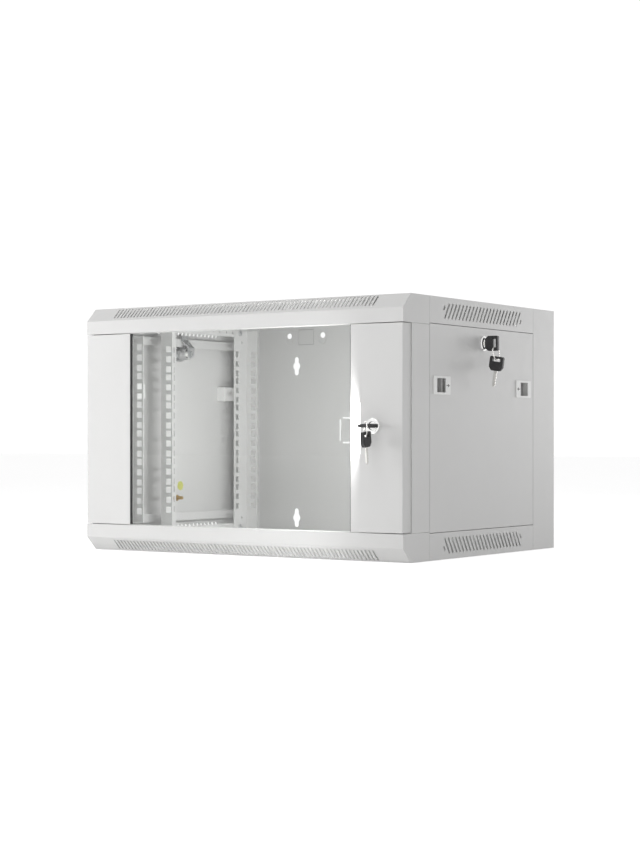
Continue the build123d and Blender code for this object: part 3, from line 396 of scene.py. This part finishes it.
def slider_ribs(mesh):
    """Fine level ribs on the sunk face of a latch slider."""
    for row in range(RIBS):
        middle = (row - RIBS // 2) * RIB_PITCH
        low, high = middle - RIB_HALF, middle + RIB_HALF
        for start, end in RIB_SPANS:
            plate(mesh, [(start, low), (end, low), (end, high), (start, high)], *RIB_HEIGHTS)


def bezel_arrow(mesh):
    """Arrow on a latch's bezel, pointing the way the slider moves."""
    lower = [(ARROW_TAIL, -ARROW_SHAFT), (ARROW_NECK, -ARROW_SHAFT), (ARROW_NECK, -ARROW_HEAD)]
    upper = [(x, -y) for x, y in reversed(lower)]
    plate(mesh, [*lower, (ARROW_TIP, 0), *upper], *ARROW_HEIGHTS)


for side, way in (("left", -1), ("right", 1)):
    for place, end in (("front", -1), ("rear", 1)):
        latch = frame_of((way * SIDE, LATCH_Y[place], LATCH_Z), (0, -end, 0), (way, 0, 0))
        piece_of(f"latch_ribs_{side}_{place}", slider_ribs, latch, SLIDER_GREY, f"latch_{side}_{place}")
        piece_of(f"latch_arrow_{side}_{place}", bezel_arrow, latch, MARK_GREY, "cabinet")

stud = frame_of((-SIDE + SHEET, EARTH_STUD_Y, EARTH_STUD_Z), (0, 0, 1), (1, 0, 0))
piece_of("earth_thread", lambda mesh: thread(mesh, *EARTH_THREAD), stud, BRASS, "cabinet")
marker = frame_of((-SIDE + SHEET, EARTH_MARKER_Y, EARTH_MARKER_Z), (0, 0, 1), (1, 0, 0))
disc = rounded(EARTH_MARKER, EARTH_MARKER, EARTH_MARKER / 2)
piece_of("earth_marker", lambda mesh: plate(mesh, disc, *EARTH_MARKER_HEIGHTS), marker, EARTH_GREEN,
         "cabinet")


def painted_groove_shade(mesh):
    """Dark grey sheet at the bottom of the groove round the knock-out between two wall holes: painted shade
    in the groove.
    """
    x, y = KNOCKOUT_HALF
    for x0, y0, x1, y1 in ((-x, -y, x, -y), (-x, y, x, y), (-x, -y, -x, y), (x, -y, x, y)):
        left, right = x0 - GROOVE_HALF, x1 + GROOVE_HALF
        low, high = y0 - GROOVE_HALF, y1 + GROOVE_HALF
        plate(mesh, [(left, low), (right, low), (right, high), (left, high)], *GROOVE_SHADE_HEIGHTS)


# Each groove gets a sheet in the slider's dark grey, as painted shade.
for side, way in (("left", -1), ("right", 1)):
    knockout = frame_of((way * KNOCKOUT_X, -SHEET, KNOCKOUT_Z), (1, 0, 0), (0, -1, 0))
    piece_of(f"knockout_painted_shade_{side}", painted_groove_shade, knockout, SLIDER_GREY, "cabinet")


# Stage, light and camera

STAGE_REACH = 14.0          # metres
STAGE_DROP = 0.0005         # under the cabinet
STAGE_GLOW = (0.55, 0.05)   # to the eye and glossy rays, and to diffuse rays
WORLD_LIGHT = (0.42, 1.04)  # to diffuse rays, and to all others
AIM = Vector((0, -0.225, 0))
EYE = (1.57428, -2.54868, -0.01598)
EYE_TURN = math.radians(34.20)


def floor():
    """Pale floor under the cabinet."""
    mesh = bpy.data.meshes.new("floor")
    low = cad_bounds[0][2] - STAGE_DROP
    corners = [(x * STAGE_REACH, y * STAGE_REACH, low) for x, y in ((-1, -1), (1, -1), (1, 1), (-1, 1))]
    mesh.from_pydata(corners, [], [(0, 1, 2, 3)])
    made, tree, shader = material("pale_floor")
    vector = place_on_piece(tree)
    tree.links.new(two_tones(tree, noise(tree, vector, 1.5), (0.93, 0.93, 0.93), (0.95, 0.95, 0.95)),
                   shader.inputs["Base Color"])
    shader.inputs["Roughness"].default_value = 0.9
    shader.inputs["Specular IOR Level"].default_value = 0.1
    shader.inputs["Emission Color"].default_value = (1, 1, 1, 1)
    seen = tree.nodes.new("ShaderNodeLightPath")
    glow = tree.nodes.new("ShaderNodeMapRange")
    glow.inputs["To Min"].default_value, glow.inputs["To Max"].default_value = STAGE_GLOW
    tree.links.new(seen.outputs["Is Diffuse Ray"], glow.inputs["Value"])
    tree.links.new(glow.outputs["Result"], shader.inputs["Emission Strength"])
    mesh.materials.append(made)
    piece = bpy.data.objects.new("floor", mesh)
    bpy.context.scene.collection.objects.link(piece)


def area_light(name, direction, distance, size, power, height=None):
    """Soft rectangular light aimed at the cabinet's middle."""
    light = bpy.data.lights.new(name, "AREA")
    light.shape = "RECTANGLE"
    light.size = size
    light.size_y = height or size
    light.energy = power
    piece = bpy.data.objects.new(name, light)
    way = Vector(direction).normalized()
    piece.location = AIM + way * distance
    piece.rotation_euler = way.to_track_quat("Z", "Y").to_euler()
    bpy.context.scene.collection.objects.link(piece)
    return piece


def inside_light(name, x, y, depth, power):
    """Soft light inside the cabinet on one side, facing the other, that only lights and isn't seen."""
    piece = area_light(name, (x, 0, 0), 1.0, 0.28, power, depth)
    piece.location = (x, y, 0)
    piece.visible_camera = False
    piece.visible_transmission = False
    piece.visible_glossy = False


floor()
area_light("front_left", (-0.83, -0.55, 0.06), 2.2, 0.7, 17)
area_light("front", (0.20, -0.98, 0.05), 3.0, 1.0, 5)
area_light("front_top", (0.05, -0.62, 0.78), 2.6, 1.0, 12)
area_light("right_rear", (0.33, 0.94, 0.10), 2.4, 0.7, 9)
inside_light("inside_right", 0.215, -0.375, 0.07, 1.4)

world = bpy.data.worlds.new("studio")
world.use_nodes = True
bpy.context.scene.world = world
background = next(node for node in world.node_tree.nodes if node.type == "BACKGROUND")
background.inputs["Color"].default_value = (1, 1, 1, 1)
seen = world.node_tree.nodes.new("ShaderNodeLightPath")
direct = world.node_tree.nodes.new("ShaderNodeMath")
direct.operation = "SUBTRACT"
direct.inputs[0].default_value = 1.0
world.node_tree.links.new(seen.outputs["Is Diffuse Ray"], direct.inputs[1])
brightness = world.node_tree.nodes.new("ShaderNodeMapRange")
brightness.inputs["To Min"].default_value, brightness.inputs["To Max"].default_value = WORLD_LIGHT
world.node_tree.links.new(direct.outputs["Value"], brightness.inputs["Value"])
world.node_tree.links.new(brightness.outputs["Result"], background.inputs["Strength"])

camera = bpy.data.cameras.new("camera")
camera.sensor_fit = "HORIZONTAL"
camera.sensor_width = 36.0
camera.lens = 101.73
camera.shift_y = 0.0205
camera.clip_end = 100.0
eye = bpy.data.objects.new("camera", camera)
eye.location = EYE
eye.rotation_euler = (math.radians(90), 0, EYE_TURN)
bpy.context.scene.collection.objects.link(eye)
bpy.context.scene.camera = eye
bpy.context.scene.view_settings.view_transform = "Standard"
